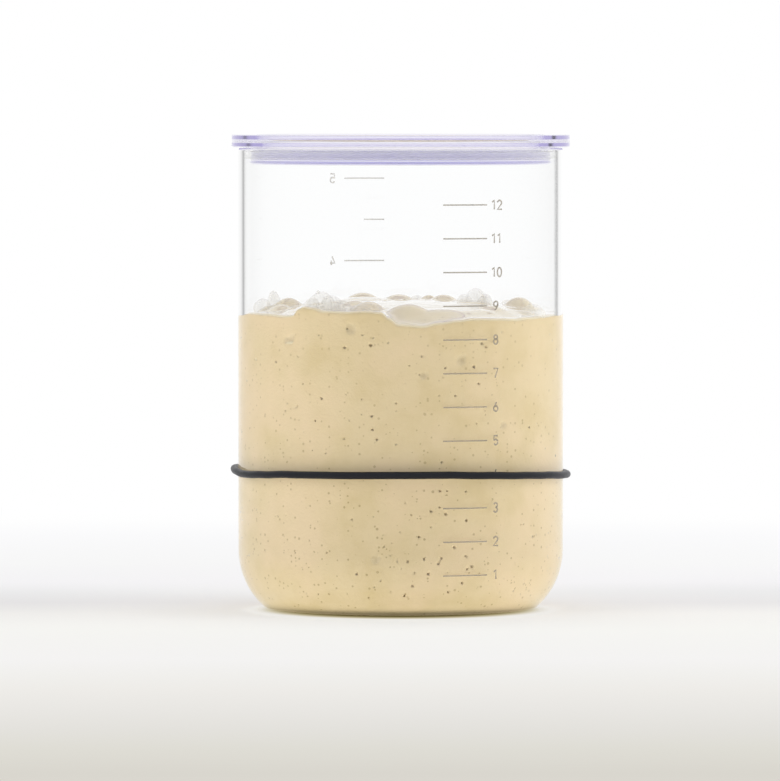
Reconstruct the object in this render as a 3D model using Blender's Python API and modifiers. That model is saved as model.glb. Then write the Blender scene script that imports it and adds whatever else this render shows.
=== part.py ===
"""Sourdough starter jar: a straight glass jar with a press-in lid, a lid gasket, a rubber level band
and the risen starter inside.

Metres, +Z up. The origin is on the jar's axis in the plane that the jar stands on, and the front,
where the centimetre scale is printed, faces -Y.
"""

import math

import bmesh
import bpy
from mathutils import Vector

MM = 0.001

# Fits and faceting
fit_gap = 0.3 * MM  # between any two pieces that touch on the real jar
weld_distance = 0.01 * MM
turn_steps = 64
arc_steps = 6
fillet_steps = 3

# Glass jar
jar_outer_radius = 49.15 * MM
jar_height = 138.9 * MM
glass_wall = 1.85 * MM
glass_base = 2.3 * MM
heel_radius = 23.3 * MM
heel_sweep = math.radians(47.3)
foot_fillet = 2.0 * MM
foot_land = 6.5 * MM  # width of the flat ring that the jar stands on
punt_rise = 0.5 * MM
floor_fillet = 5.0 * MM
rim_share = 0.43  # the fire-polished rim's rounding, as a share of the wall
punt_shares = (0.75, 0.5, 0.25)

# Lid: a flange on the rim, a plug in the mouth and a recess that locates the foot of a second jar
flange_overhang = 1.95 * MM
flange_thickness = 3.8 * MM
flange_fillet = 1.3 * MM
plug_side_gap = 1.8 * MM
plug_depth = 5.2 * MM
plug_wall = 3.5 * MM
plug_fillet = 1.1 * MM
lid_floor = 4.3 * MM
recess_fillet = 1.0 * MM
mouth_fillet = 0.6 * MM
seat_depth = 0.7 * MM
seat_ledge = 1.3 * MM  # height of the plug's rim below the gasket

# Gasket: a band with two lips that hang down and out to the bore
gasket_band = 0.9 * MM
lip_drop = 0.85 * MM
lip_root = 0.85 * MM
lip_tip = 0.35 * MM

# Level band: a round-section rubber ring, stretched round the jar. Its front lies on the centimetre
# scale's 4, and it hangs a little lower at the back and on the right.
band_section = 2.0 * MM
band_sides = 10
band_pitch = math.radians(1.08)
band_roll = math.radians(0.97)
centimetre = 10.0 * MM
band_mark = 4

# Starter: a low crown with gas domes on it, which runs to an uneven edge on the glass
fill_height = 88.9 * MM
crown_rise = 4.2 * MM
crown_power = 2.5
dome_power = 0.8
surface_rings = 22
surface_steps = 96
starter_edge_fillet = 0.8 * MM
edge_zone_share = 0.2  # width of the zone in which the surface runs to its edge
# Height of the edge over fill_height as a share of the starter's radius, by bearing in degrees from +X
edge_shares = (
    (0, 0.019),
    (30, 0.009),
    (60, 0.022),
    (90, -0.002),
    (130, 0.023),
    (170, 0.002),
    (200, 0.019),
    (225, 0.009),
    (233, 0.066),
    (242, 0.042),
    (262, 0.043),
    (270, -0.038),
    (280, -0.047),
    (297, -0.006),
    (318, -0.010),
    (345, 0.009),
    (360, 0.019),
)
# Each gas dome on the surface: its distance from the axis as a share of the starter's radius, its
# bearing in degrees from +X, and its radius and rise as shares of the starter's radius.
dome_shares = (
    (0.74, 188, 0.10, 0.055),
    (0.88, 184, 0.08, 0.034),
    (0.84, 201, 0.09, 0.032),
    (0.85, 164, 0.12, 0.034),
    (0.90, 238, 0.14, 0.026),
    (0.73, 254, 0.10, 0.047),
    (0.56, 237, 0.09, 0.028),
    (0.78, 273, 0.14, 0.043),
    (0.86, 290, 0.16, 0.021),
    (0.75, 320, 0.09, 0.017),
    (0.92, 333, 0.09, 0.026),
    (0.78, 354, 0.11, 0.064),
    (0.89, 11, 0.10, 0.034),
    (0.51, 340, 0.14, 0.015),
    (0.27, 162, 0.19, 0.019),
    (0.46, 123, 0.12, 0.049),
    (0.13, 96, 0.10, 0.032),
    (0.39, 62, 0.08, 0.030),
    (0.31, 24, 0.09, 0.034),
    (0.71, 83, 0.17, 0.026),
    (0.77, 109, 0.14, 0.026),
    (0.82, 59, 0.13, 0.030),
    (0.96, 43, 0.11, 0.021),
    (0.95, 132, 0.12, 0.017),
)

# Worked out from the sizes above
bore_radius = jar_outer_radius - glass_wall
heel_centre_radius = jar_outer_radius - heel_radius
heel_height = foot_fillet + (heel_radius - foot_fillet) * math.sin(heel_sweep)
flange_bottom = jar_height + fit_gap
flange_top = flange_bottom + flange_thickness
flange_radius = jar_outer_radius + flange_overhang
plug_bottom = flange_bottom - plug_depth
plug_radius = bore_radius - plug_side_gap
seat_radius = plug_radius - seat_depth
recess_radius = plug_radius - plug_wall
recess_floor = plug_bottom + lid_floor
band_height = glass_base + band_mark * centimetre
starter_radius = bore_radius - fit_gap


def arc(centre_r, centre_z, radius, start, end, steps):
    """Points (r, z) on an arc in the profile plane, its ends included. Angles are in radians."""
    angles = [start + (end - start) * i / steps for i in range(steps + 1)]
    return [(centre_r + radius * math.cos(a), centre_z + radius * math.sin(a)) for a in angles]


def bore_outline(inset):
    """The jar's inner floor and heel, from the axis to where the straight wall starts, moved inwards."""
    fillet = floor_fillet - inset
    reach = heel_radius - glass_wall - floor_fillet
    drop = heel_height - glass_base - floor_fillet
    turn = math.asin(drop / reach)
    fillet_r = heel_centre_radius + reach * math.cos(turn)
    fillet_z = glass_base + floor_fillet
    points = [(0.0, glass_base + inset)]
    points += arc(fillet_r, fillet_z, fillet, -math.pi / 2, -turn, fillet_steps)
    heel = arc(heel_centre_radius, heel_height, heel_radius - glass_wall - inset, -turn, 0.0, arc_steps)
    return points + heel[1:]


def material(name, colour, roughness, transmission=0.0, ior=1.5):
    """A Principled material in the piece's own colour."""
    made = bpy.data.materials.new(name)
    made.use_nodes = True
    shader = made.node_tree.nodes["Principled BSDF"]
    shader.inputs["Base Color"].default_value = (*colour, 1.0)
    shader.inputs["Roughness"].default_value = roughness
    shader.inputs["Metallic"].default_value = 0.0
    shader.inputs["Transmission Weight"].default_value = transmission
    shader.inputs["IOR"].default_value = ior
    return made


def add_object(name, mesh, collection, finish):
    """Links a mesh into the jar's collection as one named piece."""
    piece = bpy.data.objects.new(name, mesh)
    collection.objects.link(piece)
    mesh.materials.append(finish)
    return piece


def turned(name, profile, collection, finish, closed_profile=False, steps=turn_steps):
    """A solid of revolution about Z. The profile is (r, z) points that run down the outer side."""
    outline = bmesh.new()
    points = [outline.verts.new((r, 0.0, z)) for r, z in profile]
    for start, end in zip(points, points[1:]):
        outline.edges.new((start, end))
    if closed_profile:
        outline.edges.new((points[-1], points[0]))
    mesh = bpy.data.meshes.new(name)
    outline.to_mesh(mesh)
    outline.free()
    piece = add_object(name, mesh, collection, finish)
    screw = piece.modifiers.new("Turn", "SCREW")
    screw.axis = "Z"
    screw.angle = 2 * math.pi
    screw.steps = steps
    screw.render_steps = steps
    screw.use_merge_vertices = True
    screw.merge_threshold = weld_distance
    screw.use_smooth_shade = True
    return piece


def settled(piece):
    """Replaces a piece's modifiers by the mesh that they make, and returns that mesh."""
    bpy.context.view_layer.update()
    graph = bpy.context.evaluated_depsgraph_get()
    mesh = bpy.data.meshes.new_from_object(piece.evaluated_get(graph))
    piece.modifiers.clear()
    piece.data = mesh
    return mesh


def glass_jar(collection):
    """The jar's body: a rounded heel on a flat foot, a slight punt and a fire-polished rim."""
    finish = material("borosilicate_glass", (0.95, 0.97, 0.97), 0.02, transmission=1.0, ior=1.47)
    foot_r = heel_centre_radius + (heel_radius - foot_fillet) * math.cos(heel_sweep)
    land_r = foot_r - foot_land
    rim_fillet = rim_share * glass_wall
    rim_z = jar_height - rim_fillet
    profile = bore_outline(0.0)
    profile += arc(bore_radius + rim_fillet, rim_z, rim_fillet, math.pi, math.pi / 2, fillet_steps)
    profile += arc(jar_outer_radius - rim_fillet, rim_z, rim_fillet, math.pi / 2, 0.0, fillet_steps)
    profile += arc(heel_centre_radius, heel_height, heel_radius, 0.0, -heel_sweep, arc_steps)
    profile += arc(foot_r, foot_fillet, foot_fillet, -heel_sweep, -math.pi / 2, fillet_steps)[1:]
    profile.append((land_r, 0.0))
    profile += [(land_r * share, punt_rise * (1 - share**2)) for share in punt_shares]
    profile.append((0.0, punt_rise))
    return turned("glass_jar", profile, collection, finish)


def lid(collection):
    """The moulded lid. Its gasket seat is the groove between the flange and the plug's rim."""
    finish = material("lavender_plastic", (0.72, 0.69, 0.88), 0.08, transmission=0.9, ior=1.53)
    seat_bottom = plug_bottom + seat_ledge
    half = math.pi / 2
    profile = [(0.0, recess_floor)]
    profile += arc(recess_radius - recess_fillet, recess_floor + recess_fillet, recess_fillet,
                   -half, 0.0, fillet_steps)
    profile += arc(recess_radius + mouth_fillet, flange_top - mouth_fillet, mouth_fillet,
                   math.pi, half, fillet_steps)
    profile += arc(flange_radius - flange_fillet, flange_top - flange_fillet, flange_fillet,
                   half, 0.0, fillet_steps)
    profile += arc(flange_radius - flange_fillet, flange_bottom + flange_fillet, flange_fillet,
                   0.0, -half, fillet_steps)
    profile += [(seat_radius, flange_bottom), (seat_radius, seat_bottom), (plug_radius, seat_bottom)]
    profile += arc(plug_radius - plug_fillet, plug_bottom + plug_fillet, plug_fillet,
                   0.0, -half, fillet_steps)
    profile.append((0.0, plug_bottom))
    return turned("lid", profile, collection, finish)


def lid_gasket(collection):
    """The silicone ring in the lid's seat. Its lower lip's underside is flush with the band's."""
    finish = material("clear_silicone", (0.86, 0.87, 0.88), 0.35, transmission=0.6, ior=1.42)
    inner_r = seat_radius + fit_gap
    outer_r = inner_r + gasket_band
    tip_r = bore_radius - fit_gap
    top = flange_bottom - fit_gap
    bottom = plug_bottom + seat_ledge + fit_gap
    profile = [(inner_r, top), (outer_r, top), (tip_r, top - lip_drop)]
    profile += [(tip_r, top - lip_drop - lip_tip), (outer_r, top - lip_root)]
    profile += [(outer_r, bottom + lip_tip + lip_drop), (tip_r, bottom + lip_tip)]
    profile += [(tip_r, bottom), (inner_r, bottom)]
    return turned("lid_gasket", profile, collection, finish, closed_profile=True)


def level_band(collection):
    """The rubber ring that marks where the starter stood when it was fed."""
    section_radius = band_section / 2
    ring_radius = jar_outer_radius + fit_gap + section_radius
    bpy.ops.mesh.primitive_torus_add(
        major_radius=ring_radius,
        minor_radius=section_radius,
        major_segments=turn_steps,
        minor_segments=band_sides,
        location=(0.0, 0.0, band_height - ring_radius * math.sin(band_pitch)),
        rotation=(-band_pitch, band_roll, 0.0),
    )
    piece = bpy.context.active_object
    piece.name = "level_band"
    piece.data.name = "level_band"
    piece.data.materials.append(material("black_rubber", (0.012, 0.013, 0.018), 0.38))
    piece.data.shade_smooth()
    for holder in list(piece.users_collection):
        holder.objects.unlink(piece)
    collection.objects.link(piece)
    return piece


def edge_rise(bearing):
    """Height of the starter's edge over fill_height at a bearing, eased between the table's rows."""
    for (low, start), (high, end) in zip(edge_shares, edge_shares[1:]):
        if bearing <= high:
            ease = (1 - math.cos(math.pi * (bearing - low) / (high - low))) / 2
            return (start + (end - start) * ease) * starter_radius
    return edge_shares[-1][1] * starter_radius


def surface_rise(x, y):
    """Height of the starter's surface over fill_height: a low crown, gas domes and its edge."""
    out_share = min(1.0, math.hypot(x, y) / starter_radius)
    swell = 0.0
    for distance_share, bearing, radius_share, rise_share in dome_shares:
        turn = math.radians(bearing)
        centre = Vector((math.cos(turn), math.sin(turn))) * distance_share * starter_radius
        share = (Vector((x, y)) - centre).length / (radius_share * starter_radius)
        if share < 1.0:
            swell = max(swell, rise_share * starter_radius * (1 - share**2) ** dome_power)
    inner = crown_rise * (1 - out_share**crown_power) + swell
    pull = max(0.0, 1 - (1 - out_share) / edge_zone_share)
    pull = pull * pull * (3 - 2 * pull)
    return inner + (edge_rise(math.degrees(math.atan2(y, x)) % 360) - inner) * pull


def starter(collection):
    """The risen starter: it fills the jar's bore, and gas domes lift its surface."""
    finish = material("starter_dough", (0.76, 0.62, 0.42), 0.55)
    edge_r = starter_radius - starter_edge_fillet
    top = [(edge_r * i / surface_rings, fill_height) for i in range(surface_rings)]
    top += arc(edge_r, fill_height - starter_edge_fillet, starter_edge_fillet,
               math.pi / 2, 0.0, fillet_steps)
    profile = top + bore_outline(fit_gap)[::-1]
    piece = turned("starter", profile, collection, finish, steps=surface_steps)
    mesh = settled(piece)
    for vertex in mesh.vertices:
        if vertex.co.z > heel_height + weld_distance:
            vertex.co.z += surface_rise(vertex.co.x, vertex.co.y)
    return piece


def main():
    """Builds every piece in one collection, under one empty on the jar's axis."""
    for old in list(bpy.data.objects):
        bpy.data.objects.remove(old)
    collection = bpy.data.collections.new("sourdough_starter_jar")
    bpy.context.scene.collection.children.link(collection)
    axis = bpy.data.objects.new("jar_axis", None)
    collection.objects.link(axis)
    for make in (glass_jar, starter, level_band, lid_gasket, lid):
        make(collection).parent = axis


main()
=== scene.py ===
"""Sourdough starter jar: a graduated glass jar with a press-in lid, a level band and starter."""

import itertools
import math
import random

import bmesh
import bpy
from bpy.props import FloatProperty, FloatVectorProperty, IntProperty, PointerProperty
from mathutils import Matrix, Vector, noise


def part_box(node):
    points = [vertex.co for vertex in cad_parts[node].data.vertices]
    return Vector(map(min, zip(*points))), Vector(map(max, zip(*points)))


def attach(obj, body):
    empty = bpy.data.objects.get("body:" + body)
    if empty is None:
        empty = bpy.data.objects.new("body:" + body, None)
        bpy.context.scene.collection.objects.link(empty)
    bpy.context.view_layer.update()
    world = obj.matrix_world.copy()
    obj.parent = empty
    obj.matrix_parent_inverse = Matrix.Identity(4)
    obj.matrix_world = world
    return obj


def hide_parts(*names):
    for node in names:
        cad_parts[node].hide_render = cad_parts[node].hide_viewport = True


bl_info = {
    "name": "Sourdough starter jar",
    "version": (1, 0, 0),
    "blender": (4, 5, 0),
    "location": "View3D > Sidebar > Starter jar",
    "description": "Dresses a sourdough starter jar: glass, scales, starter, lid, gasket and band",
    "category": "Add Mesh",
}

# One millimetre, in metres
MM = 0.001

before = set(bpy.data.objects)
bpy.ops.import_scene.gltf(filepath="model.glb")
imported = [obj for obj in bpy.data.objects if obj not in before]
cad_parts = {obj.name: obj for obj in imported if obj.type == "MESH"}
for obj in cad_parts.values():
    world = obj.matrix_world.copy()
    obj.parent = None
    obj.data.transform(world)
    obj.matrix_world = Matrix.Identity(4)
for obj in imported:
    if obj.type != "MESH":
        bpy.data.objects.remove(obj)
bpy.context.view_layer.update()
jar_low, jar_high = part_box("glass_jar")
lid_low, lid_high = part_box("lid")
band_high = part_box("level_band")[1]


def linear(red, green, blue):
    """A colour given in screen values of 0 to 255, as the linear values that shaders use."""
    shares = [value / 255 for value in (red, green, blue)]
    return tuple(s / 12.92 if s <= 0.04045 else ((s + 0.055) / 1.055) ** 2.4 for s in shares)


# Sizes and colours that a user may change

class GlassSizes(bpy.types.PropertyGroup):
    """Sizes of the glass jar."""

    outer_radius: FloatProperty(
        name="Outer radius", description="Radius of the straight wall",
        default=jar_high.x, unit="LENGTH")
    height: FloatProperty(
        name="Height", description="Height of the glass without its lid",
        default=jar_high.z, unit="LENGTH")
    wall: FloatProperty(
        name="Wall", description="Thickness of the straight wall",
        default=0.00185, unit="LENGTH")
    base: FloatProperty(
        name="Base", description="Thickness of the base at its middle, punt included",
        default=0.0023, unit="LENGTH")
    heel_radius: FloatProperty(
        name="Heel radius", description="Radius of the rounded heel",
        default=0.0233, unit="LENGTH")
    heel_sweep: FloatProperty(
        name="Heel sweep", description="Angle that the heel turns through before its foot",
        default=math.radians(47.3), subtype="ANGLE")
    foot_fillet: FloatProperty(
        name="Foot fillet", description="Rounding between the heel and the foot ring",
        default=0.002, unit="LENGTH")
    foot_land: FloatProperty(
        name="Foot land", description="Width of the flat ring that the jar stands on",
        default=0.0065, unit="LENGTH")
    punt_rise: FloatProperty(
        name="Punt rise", description="Height of the hollow inside the foot ring",
        default=0.0005, unit="LENGTH")
    floor_fillet: FloatProperty(
        name="Floor fillet", description="Rounding of the inner floor",
        default=0.005, unit="LENGTH")


class ScaleSizes(bpy.types.PropertyGroup):
    """Sizes and colours of the printed scales."""

    zero: FloatProperty(
        name="Zero", description="Height of the scales' zero, the top of the glass base",
        default=0.0023, unit="LENGTH")
    mark: FloatProperty(
        name="Mark width", description="Thickness of a printed mark",
        default=0.00040, unit="LENGTH")
    numeral: FloatProperty(
        name="Numeral height", description="Height of a printed numeral",
        default=0.00315, unit="LENGTH")
    stroke: FloatProperty(
        name="Stroke", description="Width of a numeral's stroke",
        default=0.00052, unit="LENGTH")
    face: FloatVectorProperty(
        name="Ink", description="Colour of the ink from outside",
        default=linear(142, 133, 122), subtype="COLOR")
    # Painted light: the ink's side towards the glass is painted paler than its face, for light that
    # shines through the ink
    back: FloatVectorProperty(
        name="Ink's back", description="Colour of the ink as seen through the glass",
        default=linear(228, 228, 230), subtype="COLOR")


class StarterLook(bpy.types.PropertyGroup):
    """Height and colours of the risen starter."""

    edge: FloatProperty(
        name="Edge height", description="Mean height of the starter against the glass",
        default=0.0889, unit="LENGTH")
    crown: FloatProperty(
        name="Crown", description="Rise of the surface from its edge to its middle",
        default=0.0042, unit="LENGTH")
    crumb: FloatVectorProperty(
        name="Crumb", description="Colour of the starter",
        default=linear(217, 199, 165), subtype="COLOR")
    shade: FloatVectorProperty(
        name="Shade", description="Colour of its darker patches",
        default=linear(202, 182, 137), subtype="COLOR")
    blush: FloatVectorProperty(
        name="Blush", description="Colour of its pinker patches",
        default=linear(222, 202, 171), subtype="COLOR")
    skin: FloatVectorProperty(
        name="Skin", description="Colour of the starter's moist upper skin",
        default=linear(231, 214, 170), subtype="COLOR")
    # Painted shade: the pores are painted in this colour for the shade in their depths
    pore: FloatVectorProperty(
        name="Pores", description="Colour in the depth of its pores",
        default=linear(128, 102, 50), subtype="COLOR")
    seed: IntProperty(
        name="Seed", description="Which arrangement of pores and small domes is made",
        default=7)


class LidLook(bpy.types.PropertyGroup):
    """Sizes and tint of the lid."""

    flange: FloatProperty(
        name="Flange thickness", description="Thickness of the flange on the rim",
        default=0.0038, unit="LENGTH")
    wall: FloatProperty(
        name="Wall", description="Thickness of the plug's wall",
        default=0.0035, unit="LENGTH")
    floor: FloatProperty(
        name="Floor", description="Thickness under the recess",
        default=0.0043, unit="LENGTH")
    tint: FloatVectorProperty(
        name="Tint", description="Colour that a thick part of the plastic takes",
        default=(0.46, 0.42, 0.78), subtype="COLOR")
    edge: FloatVectorProperty(
        name="Edge", description="Colour of the light that leaves by the flange's outer edge",
        default=(0.52, 0.47, 0.76), subtype="COLOR")
    depth: FloatProperty(
        name="Tint depth", description="How fast the tint grows with thickness, per metre",
        default=16.0)
    lip: FloatProperty(
        name="Inner lip", description="Rounding where the flange's top turns down into the recess",
        default=0.0012, unit="LENGTH")
    bead: FloatProperty(
        name="Bead", description="Height of the flange's outer bead over its inner lip",
        default=0.0015, unit="LENGTH")


class BandLook(bpy.types.PropertyGroup):
    """Size and colour of the level band."""

    section: FloatProperty(
        name="Section", description="Height of the band's section",
        default=0.0022, unit="LENGTH")
    colour: FloatVectorProperty(
        name="Rubber", description="Colour of the band",
        default=(0.006, 0.007, 0.011), subtype="COLOR")


class StageLook(bpy.types.PropertyGroup):
    """Light and floor."""

    ambient: FloatProperty(
        name="Ambient light", description="Strength of the light from all round",
        default=0.16)
    bounce: FloatProperty(
        name="Floor light", description="Strength of the light that the floor throws back",
        default=1.55)
    key: FloatProperty(
        name="Right light", description="Power of the soft light on the right",
        default=7.6, unit="POWER")
    fill: FloatProperty(
        name="Left light", description="Power of the soft light on the left",
        default=5.0, unit="POWER")
    top: FloatProperty(
        name="Top light", description="Power of the soft light overhead",
        default=14.0, unit="POWER")


# Outlines and solids

def arc(centre_r, centre_z, radius, start, end, steps):
    """Points (r, z) on an arc in the profile plane, its ends included. Angles are in radians."""
    angles = [start + (end - start) * i / steps for i in range(steps + 1)]
    return [(centre_r + radius * math.cos(a), centre_z + radius * math.sin(a)) for a in angles]


def rounded(corner_r, corner_z, radius, start, end, steps):
    """The arc that rounds a square corner of an outline."""
    centre_r = corner_r - radius * (math.cos(start) + math.cos(end))
    centre_z = corner_z - radius * (math.sin(start) + math.sin(end))
    return arc(centre_r, centre_z, radius, start, end, steps)


def heel_centre(glass):
    """Centre (r, z) of the rounded heel."""
    drop = (glass.heel_radius - glass.foot_fillet) * math.sin(glass.heel_sweep)
    return glass.outer_radius - glass.heel_radius, glass.foot_fillet + drop


def bore_outline(glass, inset, steps):
    """The inner floor and heel, from the axis to the straight wall, moved inwards by inset."""
    centre_r, centre_z = heel_centre(glass)
    reach = glass.heel_radius - glass.wall - glass.floor_fillet
    turn = math.asin((centre_z - glass.base - glass.floor_fillet) / reach)
    fillet_r = centre_r + reach * math.cos(turn)
    fillet_z = glass.base + glass.floor_fillet
    points = arc(fillet_r, fillet_z, glass.floor_fillet - inset, -math.pi / 2, -turn, steps)
    heel_r = glass.heel_radius - glass.wall - inset
    return points + arc(centre_r, centre_z, heel_r, -turn, 0.0, 2 * steps)[1:]


def supported(profile, reach=0.00006):
    """The outline with extra points near the ends of its long runs, so that flats shade flat."""
    points = [profile[0]]
    for start, end in zip(profile, profile[1:]):
        length = math.dist(start, end)
        if length > 6 * reach:
            for share in (reach / length, 1 - reach / length):
                points.append(tuple(a + (b - a) * share for a, b in zip(start, end)))
        points.append(end)
    return points


def from_table(table, bearing):
    """A height at a bearing, eased between the rows of a table of (bearing, height)."""
    for (low, start), (high, end) in zip(table, table[1:]):
        if bearing <= high:
            share = (bearing - low) / (high - low)
            ease = (1 - math.cos(math.pi * share)) / 2
            return start + (end - start) * ease
    return table[-1][1]


def spun(profile, steps, closed=False):
    """A closed solid of revolution about the jar's axis, made from its (r, z) outline."""
    shape = bmesh.new()
    points = [shape.verts.new((r, 0.0, z)) for r, z in profile]
    lines = [shape.edges.new(pair) for pair in zip(points, points[1:])]
    if closed:
        lines.append(shape.edges.new((points[-1], points[0])))
    bmesh.ops.spin(
        shape, geom=points + lines, cent=(0.0, 0.0, 0.0), axis=(0.0, 0.0, 1.0),
        dvec=(0.0, 0.0, 0.0), angle=2 * math.pi, steps=steps, use_merge=True,
        use_normal_flip=False, use_duplicate=False)
    bmesh.ops.remove_doubles(shape, verts=shape.verts, dist=1e-6)
    bmesh.ops.recalc_face_normals(shape, faces=shape.faces)
    return shape


def add_shape(shape, part):
    """Adds a part to a shape and frees it."""
    mesh = bpy.data.meshes.new("part")
    part.to_mesh(mesh)
    part.free()
    shape.from_mesh(mesh)
    bpy.data.meshes.remove(mesh)


def dressed(name, shape, body, finishes, nodes=(), crease=40.0):
    """Makes a finished shape one of the jar's pieces, on its body and in place of its CAD nodes."""
    mesh = bpy.data.meshes.new(name)
    shape.to_mesh(mesh)
    shape.free()
    mesh.shade_smooth()
    mesh.set_sharp_from_angle(angle=math.radians(crease))
    for finish in finishes:
        mesh.materials.append(finish)
    piece = bpy.data.objects.new(name, mesh)
    bpy.context.scene.collection.objects.link(piece)
    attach(piece, body)
    if nodes:
        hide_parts(*nodes)


# Node helpers

def feed(tree, entry, source):
    """Joins an output to an input, or gives the input its plain value."""
    if isinstance(source, bpy.types.NodeSocket):
        tree.links.new(source, entry)
    elif entry.type == "RGBA" and len(source) == 3:
        entry.default_value = (*source, 1.0)
    else:
        entry.default_value = source


def fill(tree, node, **sources):
    """Feeds a node's inputs by name, with _ for a blank."""
    for name, source in sources.items():
        feed(tree, node.inputs[name.replace("_", " ")], source)


def add_node(tree, kind, place, *sources, **settings):
    """Adds a node: sources feed its inputs in order, settings its options and named inputs."""
    made = tree.nodes.new("ShaderNode" + kind)
    made.location = (place[0] * 200, place[1] * 160)
    for name, setting in settings.items():
        if hasattr(made, name):
            setattr(made, name, setting)
        else:
            fill(tree, made, **{name: setting})
    for entry, source in zip(made.inputs, sources):
        feed(tree, entry, source)
    return made


def placed_group(tree, name, place, **sources):
    """Places one of the shared groups in a material, with its own values. Gives its output."""
    group = bpy.data.node_groups[name]
    return add_node(tree, "Group", place, node_tree=group, **sources).outputs[0]


def reckoned(tree, place, operation, *sources):
    """The result of a Math node on outputs and numbers."""
    return add_node(tree, "Math", place, *sources, operation=operation).outputs["Value"]


def ranged(tree, place, value, given, wanted=(0.0, 1.0), ease="LINEAR"):
    """A value carried from a given range to the wanted one."""
    made = add_node(tree, "MapRange", place, value, *given, *wanted, interpolation_type=ease)
    return made.outputs["Result"]


def mixed(tree, place, share, first, second, kind="RGBA"):
    """A mix of two colours or, with the kind FLOAT, numbers: the second where the share is 1."""
    made = add_node(tree, "Mix", place, share, data_type=kind)
    start, result = (6, 2) if kind == "RGBA" else (2, 0)
    feed(tree, made.inputs[start], first)
    feed(tree, made.inputs[start + 1], second)
    return made.outputs[result]


def mixed_shader(tree, place, share, first, second):
    """A mix of two shaders: the second where the share is 1."""
    return add_node(tree, "MixShader", place, share, first, second).outputs["Shader"]


def reach_of(tree, place, spot):
    """Distance of a point from the origin."""
    return add_node(tree, "VectorMath", place, spot, operation="LENGTH").outputs["Value"]


def grain(tree, place, spot, scale, low=0.0, high=1.0, stretch=1.0):
    """Fine noise between two values, for uneven roughness, cover and small relief."""
    return placed_group(
        tree, "fine_grain", place, Vector=spot, Scale=scale, Stretch=stretch, Low=low, High=high)


def relief(tree, height, strength, distance):
    """The normals of a small relief."""
    made = add_node(
        tree, "Bump", (2, -2), Strength=strength, Distance=distance, Height=height)
    return made.outputs["Normal"]


def toned(tree, place, value, table, given=None):
    """The tone in a table of (position, colour or brightness) for a value within its range."""
    low, high = table[0][0], table[-1][0]
    share = ranged(tree, (place[0] - 1, place[1]), value, given or (low, high))
    made = add_node(tree, "ValToRGB", place, share)
    ramp = made.color_ramp
    while len(ramp.elements) < len(table):
        ramp.elements.new(0.5)
    for stop, (at, tone) in zip(ramp.elements, table):
        stop.position = (at - low) / (high - low)
        stop.color = (*linear(*tone), 1.0) if isinstance(tone, tuple) else (tone, tone, tone, 1.0)
    return made.outputs["Color"]


def viewed(tree, place, path):
    """1 for light that the camera sees, also by way of a mirror, glass or plastic."""
    either = reckoned(tree, place, "MAXIMUM", path["Is Camera Ray"], path["Is Glossy Ray"])
    place = (place[0] + 1, place[1])
    return reckoned(tree, place, "MAXIMUM", either, path["Is Transmission Ray"])


def new_group(name, inputs, outputs):
    """A node group with inputs (name, kind, default) and outputs (name, kind)."""
    tree = bpy.data.node_groups.new(name, "ShaderNodeTree")
    for label, kind, *default in inputs:
        socket = tree.interface.new_socket(
            name=label, in_out="INPUT", socket_type="NodeSocket" + kind)
        if default:
            socket.default_value = default[0]
    for label, kind in outputs:
        tree.interface.new_socket(
            name=label, in_out="OUTPUT", socket_type="NodeSocket" + kind)
    leave = tree.nodes.new("NodeGroupOutput")
    return tree, tree.nodes.new("NodeGroupInput").outputs, leave.inputs[0]


def new_material(name):
    """A node material with its output, its Principled shader and its Object coordinates."""
    made = bpy.data.materials.new(name)
    made.use_nodes = True
    tree = made.node_tree
    tree.nodes.clear()
    shader = add_node(tree, "BsdfPrincipled", (4, 0))
    add_node(tree, "OutputMaterial", (8, 0), shader.outputs["BSDF"], name="output")
    place = add_node(tree, "TexCoord", (-4, 0))
    return made, tree, shader, place.outputs["Object"]


def pass_light(tree, shader, shade, leaving=(1.0, 1.0, 1.0)):
    """Lets lamps and bounced light through clear plastic or glass, a little dimmed.

    Light that has been mirrored inside the piece leaves it where it next meets the surface.
    """
    path = add_node(tree, "LightPath", (4, 4)).outputs
    clear = add_node(tree, "BsdfTransparent", (5, -3), shade).outputs["BSDF"]
    way_out = add_node(tree, "BsdfTransparent", (4, -5), leaving).outputs["BSDF"]
    plain = shader.outputs["BSDF"]
    mirrored = mixed_shader(tree, (5, 1), path["Glossy Depth"], plain, way_out)
    soft = mixed_shader(tree, (6, 0), path["Is Diffuse Ray"], mirrored, clear)
    lamps = mixed_shader(tree, (7, 0), path["Is Shadow Ray"], soft, clear)
    fill(tree, tree.nodes["output"], Surface=lamps)


# Shared effects

def grain_group():
    """Fine noise between two values, stretched along the jar's axis where that is asked."""
    tree, given, leave = new_group(
        "fine_grain",
        (("Vector", "Vector"), ("Scale", "Float", 400.0), ("Stretch", "Float", 1.0),
         ("Low", "Float", 0.0), ("High", "Float", 1.0)),
        (("Value", "Float"),))
    stretch = add_node(tree, "CombineXYZ", (0, 1), 1.0, 1.0, given["Stretch"]).outputs["Vector"]
    shaped = add_node(
        tree, "VectorMath", (1, 1), given["Vector"], stretch, operation="MULTIPLY")
    cloud = add_node(
        tree, "TexNoise", (2, 1), Vector=shaped.outputs["Vector"], Scale=given["Scale"],
        Detail=3.0, Roughness=0.6)
    wanted = (given["Low"], given["High"])
    feed(tree, leave, ranged(tree, (3, 1), cloud.outputs["Fac"], (0.3, 0.7), wanted))


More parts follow.
